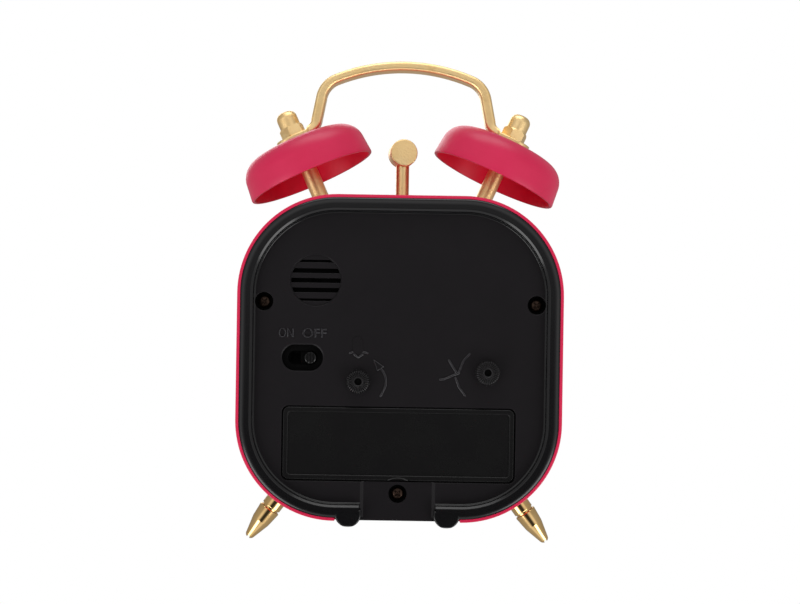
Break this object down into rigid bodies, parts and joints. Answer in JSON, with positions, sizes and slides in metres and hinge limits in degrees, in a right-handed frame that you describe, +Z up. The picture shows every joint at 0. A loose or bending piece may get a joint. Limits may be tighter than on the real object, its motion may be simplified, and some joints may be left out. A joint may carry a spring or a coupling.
{
  "type": "twin-bell alarm clock",
  "caption": "Square painted-metal alarm clock with twin bells, brass hammer, bar handle and feet, a clear front lens and a screwed rear cover with battery door, switch and setting knobs.",
  "frame": {"origin": "on the table, at the middle of the clock's footprint box", "axes": "+X to the right seen from the dial, +Y towards the back, +Z up; the clock leans back on its feet"},
  "size_m": [0.0962, 0.0666, 0.1422],
  "materials": {
    "pink_paint": "semi-gloss",
    "brass": "satin polished",
    "black_plastic": "fine matte",
    "dark_screw": "dark bronzed",
    "steel": "plain",
    "clear_lens": "clear",
    "white_dial": "matte",
    "ivory_plastic": "moulded",
    "copper_wire": "enamelled winding",
    "green_board": "lacquered",
    "inner_black": "moulded",
    "magnet": "plain",
    "black_hand": "matte"
  },
  "bodies": {
    "clock": {"case_shell": "pink_paint", "front_lens": "clear_lens", "spacer_ring": "white_dial", "dial_plate": "white_dial", "chassis": "black_plastic", "rear_cover": "black_plastic", "cover_screws": "dark_screw", "battery_tray": "black_plastic", "battery_contact": "steel", "battery_spring": "steel", "circuit_board": "green_board", "quartz_crystal": "steel", "board_screws": "steel", "buzzer": "inner_black", "switch_body": "inner_black", "stator": "steel", "motor_coil": "copper_wire", "rear_bridge": "ivory_plastic", "bridge_screws": "steel", "left_bell": "pink_paint", "right_bell": "pink_paint", "left_post": "brass", "right_post": "brass", "post_nuts": "steel", "cap_nuts": "brass", "handle": "brass", "hammer_pin": "steel", "striker_bracket": "steel", "bracket_screws": "steel", "striker_yoke": "steel", "striker_coil": "copper_wire", "left_foot": "brass", "right_foot": "brass", "foot_nuts": "steel"},
    "door": {"battery_door": "black_plastic"},
    "switch": {"switch_slider": "black_plastic"},
    "alarm_setting": {"alarm_knob": "black_plastic", "alarm_shaft": "ivory_plastic"},
    "alarm": {"alarm_wheel": "ivory_plastic", "alarm_hand": "black_hand"},
    "time_setting": {"time_knob": "black_plastic", "time_shaft": "ivory_plastic"},
    "minute_train": {"minute_wheel": "ivory_plastic"},
    "minute": {"cannon_pinion": "brass", "minute_hand": "brass"},
    "hour": {"hour_wheel": "ivory_plastic", "hour_hand": "brass"},
    "second": {"seconds_wheel": "ivory_plastic", "second_hand": "black_hand"},
    "step_train": {"step_wheel": "ivory_plastic"},
    "rotor_spin": {"rotor": "magnet"},
    "hammer": {"hammer_head": "brass", "hammer_arm": "brass", "armature": "steel"}
  },
  "joints": [
    {"name": "door_hinge", "type": "hinge", "parent": "clock", "child": "door", "pos_m": [0, 0.01465, 0.03445], "axis": [1, 0, 0], "range_deg": [0, 60]},
    {"name": "alarm_switch", "type": "slide", "parent": "clock", "child": "switch", "axis": [1, 0, 0], "range_m": [0, 0.0046]},
    {"name": "alarm_knob_turn", "type": "hinge", "parent": "clock", "child": "alarm_setting", "pos_m": [0.0121, -0.00211, 0.04657], "axis": [0, 0.9684, -0.2492], "continuous": true},
    {"name": "alarm_hand_turn", "type": "hinge", "parent": "clock", "child": "alarm", "pos_m": [0, -0.00036, 0.05339], "axis": [0, 0.9684, -0.2492], "continuous": true},
    {"name": "time_knob_turn", "type": "hinge", "parent": "clock", "child": "time_setting", "pos_m": [-0.02601, -0.00133, 0.04962], "axis": [0, 0.9684, -0.2492], "continuous": true},
    {"name": "minute_wheel_turn", "type": "hinge", "parent": "clock", "child": "minute_train", "pos_m": [-0.0126, -0.00037, 0.05334], "axis": [0, 0.9684, -0.2492], "continuous": true},
    {"name": "minute_hand_turn", "type": "hinge", "parent": "clock", "child": "minute", "pos_m": [0, -0.00036, 0.05339], "axis": [0, 0.9684, -0.2492], "continuous": true},
    {"name": "hour_hand_turn", "type": "hinge", "parent": "clock", "child": "hour", "pos_m": [0, -0.00036, 0.05339], "axis": [0, 0.9684, -0.2492], "continuous": true},
    {"name": "second_hand_turn", "type": "hinge", "parent": "clock", "child": "second", "pos_m": [0, -0.00036, 0.05339], "axis": [0, 0.9684, -0.2492], "continuous": true},
    {"name": "step_wheel_turn", "type": "hinge", "parent": "clock", "child": "step_train", "pos_m": [0.00882, 0.00149, 0.06056], "axis": [0, 0.9684, -0.2492], "continuous": true},
    {"name": "rotor_turn", "type": "hinge", "parent": "clock", "child": "rotor_spin", "pos_m": [0.01738, 0.00226, 0.06357], "axis": [0, 0.9684, -0.2492], "continuous": true},
    {"name": "hammer_swing", "type": "hinge", "parent": "clock", "child": "hammer", "pos_m": [0, 0.00712, 0.08244], "axis": [0, 0.9684, -0.2492], "range_deg": [-8.5, 8.5]}
  ],
  "couplings": [
    {"joint": "alarm_hand_turn", "follows": "alarm_knob_turn", "ratio": -0.55556},
    {"joint": "minute_wheel_turn", "follows": "time_knob_turn", "ratio": -0.47619},
    {"joint": "minute_hand_turn", "follows": "time_knob_turn", "ratio": 1.4286},
    {"joint": "hour_hand_turn", "follows": "time_knob_turn", "ratio": 0.11905},
    {"joint": "step_wheel_turn", "follows": "second_hand_turn", "ratio": -5},
    {"joint": "rotor_turn", "follows": "second_hand_turn", "ratio": 30}
  ]
}
